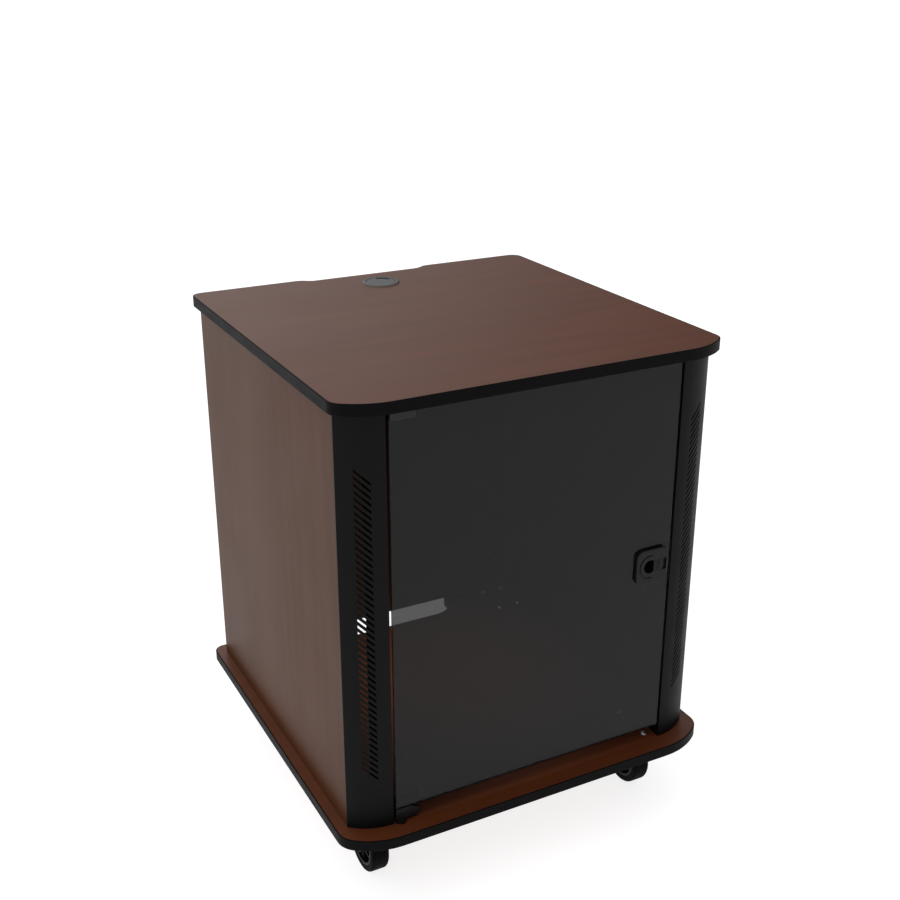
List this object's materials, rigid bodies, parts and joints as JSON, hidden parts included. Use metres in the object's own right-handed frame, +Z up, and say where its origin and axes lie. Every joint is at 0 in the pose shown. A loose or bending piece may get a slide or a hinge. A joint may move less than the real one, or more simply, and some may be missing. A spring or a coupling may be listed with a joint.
{
  "type": "lectern podium",
  "caption": "Mobile equipment lectern: laminate cabinet with smoked glass front door, vented steel corner posts, inset rear door, cable grommet and swivel casters.",
  "frame": {"origin": "on the floor, under the centre of the base board", "axes": "+Z up, the glass front door faces -Y, +X to the right of a person facing it"},
  "size_m": [0.7, 0.698, 0.8805],
  "materials": {
    "laminate": "satin melamine, brown mahogany print",
    "edge_banding": "black PVC, satin",
    "post_steel": "black powder coat, satin",
    "bracket_steel": "black powder coat",
    "zinc_hardware": "bright zinc plate",
    "smoked_glass": "tempered, grey tint",
    "hinge_black": "black oxide, satin",
    "rubber_pad": "matte",
    "nylon": "natural nylon",
    "latch_black": "black moulded nylon, satin",
    "grommet_black": "black moulded ABS",
    "nickel": "nickel plate",
    "beech": "plain beech dowel",
    "caster_tyre": "black rubber",
    "wheel_centre": "black moulded nylon",
    "caster_steel": "black powder coat"
  },
  "bodies": {
    "cabinet": {"base_board": "laminate", "base_edge_band": "edge_banding", "top_board": "laminate", "top_edge_band": "edge_banding", "left_side_panel": "laminate", "right_side_panel": "laminate", "side_edge_bands": "edge_banding", "panel_dowels": "beech", "left_corner_post": "post_steel", "right_corner_post": "post_steel", "post_brackets": "bracket_steel", "bracket_screws": "zinc_hardware", "grommet_sleeve": "grommet_black", "lower_pivot_bush": "bracket_steel", "upper_pivot_bush": "bracket_steel", "pivot_thrust_washer": "nylon", "caster_bolts": "zinc_hardware", "caster_nuts": "zinc_hardware", "caster_plates": "caster_steel", "fitting_screws": "zinc_hardware", "rear_hinge_plates": "nickel", "rear_hinge_arms": "nickel", "rear_lock_keeper": "bracket_steel", "strike_plate": "nickel"},
    "front_door": {"door_glass": "smoked_glass", "clamp_screws": "zinc_hardware", "upper_pivot_pin": "nickel", "lower_pivot_pin": "nickel", "upper_glass_clamp": "hinge_black", "lower_glass_shoe": "hinge_black", "glass_pads": "rubber_pad", "latch_screws": "zinc_hardware", "latch_housing": "latch_black", "latch_backplate": "latch_black"},
    "latch_slider": {"latch_thumb_tab": "latch_black", "latch_bolt": "nickel"},
    "rear_door": {"rear_door_panel": "laminate", "rear_door_edge_band": "edge_banding", "rear_hinge_cups": "nickel", "rear_lock_body": "nickel", "rear_lock_nut": "nickel"},
    "rear_lock": {"rear_lock_plug": "nickel", "rear_lock_cam": "zinc_hardware"},
    "cable_cap": {"grommet_cap": "grommet_black"},
    "front_left_swivel": {"front_left_caster_fork": "caster_steel", "front_left_caster_axle": "zinc_hardware"},
    "front_left_wheel": {"front_left_tyre": "caster_tyre", "front_left_wheel_hub": "wheel_centre"},
    "front_right_swivel": {"front_right_caster_fork": "caster_steel", "front_right_caster_axle": "zinc_hardware"},
    "front_right_wheel": {"front_right_tyre": "caster_tyre", "front_right_wheel_hub": "wheel_centre"},
    "rear_left_swivel": {"rear_left_caster_fork": "caster_steel", "rear_left_caster_axle": "zinc_hardware"},
    "rear_left_wheel": {"rear_left_tyre": "caster_tyre", "rear_left_wheel_hub": "wheel_centre"},
    "rear_right_swivel": {"rear_right_caster_fork": "caster_steel", "rear_right_caster_axle": "zinc_hardware"},
    "rear_right_wheel": {"rear_right_tyre": "caster_tyre", "rear_right_wheel_hub": "wheel_centre"}
  },
  "joints": [
    {"name": "front_door_swing", "type": "hinge", "parent": "cabinet", "child": "front_door", "pos_m": [-0.247, -0.312, 0.5035], "axis": [0, 0, -1], "range_deg": [0, 115]},
    {"name": "latch_slide", "type": "slide", "parent": "front_door", "child": "latch_slider", "axis": [1, 0, 0], "range_m": [0, 0.007]},
    {"name": "rear_door_swing", "type": "hinge", "parent": "cabinet", "child": "rear_door", "pos_m": [0.3085, 0.3245, 0.5035], "axis": [0, 0, -1], "range_deg": [0, 105]},
    {"name": "rear_lock_turn", "type": "hinge", "parent": "rear_door", "child": "rear_lock", "pos_m": [-0.281, 0.31, 0.5035], "axis": [0, 1, 0], "range_deg": [0, 90]},
    {"name": "cable_cap_turn", "type": "hinge", "parent": "cabinet", "child": "cable_cap", "pos_m": [0, 0.267, 0.879], "axis": [0, 0, 1], "continuous": true},
    {"name": "front_left_swivel_turn", "type": "hinge", "parent": "cabinet", "child": "front_left_swivel", "pos_m": [-0.265, -0.259, 0.118], "axis": [0, 0, 1], "continuous": true},
    {"name": "front_left_wheel_roll", "type": "hinge", "parent": "front_left_swivel", "child": "front_left_wheel", "pos_m": [-0.265, -0.221, 0.05], "axis": [1, 0, 0], "continuous": true},
    {"name": "front_right_swivel_turn", "type": "hinge", "parent": "cabinet", "child": "front_right_swivel", "pos_m": [0.265, -0.259, 0.118], "axis": [0, 0, 1], "continuous": true},
    {"name": "front_right_wheel_roll", "type": "hinge", "parent": "front_right_swivel", "child": "front_right_wheel", "pos_m": [0.265, -0.221, 0.05], "axis": [1, 0, 0], "continuous": true},
    {"name": "rear_left_swivel_turn", "type": "hinge", "parent": "cabinet", "child": "rear_left_swivel", "pos_m": [-0.265, 0.261, 0.118], "axis": [0, 0, 1], "continuous": true},
    {"name": "rear_left_wheel_roll", "type": "hinge", "parent": "rear_left_swivel", "child": "rear_left_wheel", "pos_m": [-0.265, 0.299, 0.05], "axis": [1, 0, 0], "continuous": true},
    {"name": "rear_right_swivel_turn", "type": "hinge", "parent": "cabinet", "child": "rear_right_swivel", "pos_m": [0.265, 0.261, 0.118], "axis": [0, 0, 1], "continuous": true},
    {"name": "rear_right_wheel_roll", "type": "hinge", "parent": "rear_right_swivel", "child": "rear_right_wheel", "pos_m": [0.265, 0.299, 0.05], "axis": [1, 0, 0], "continuous": true}
  ]
}
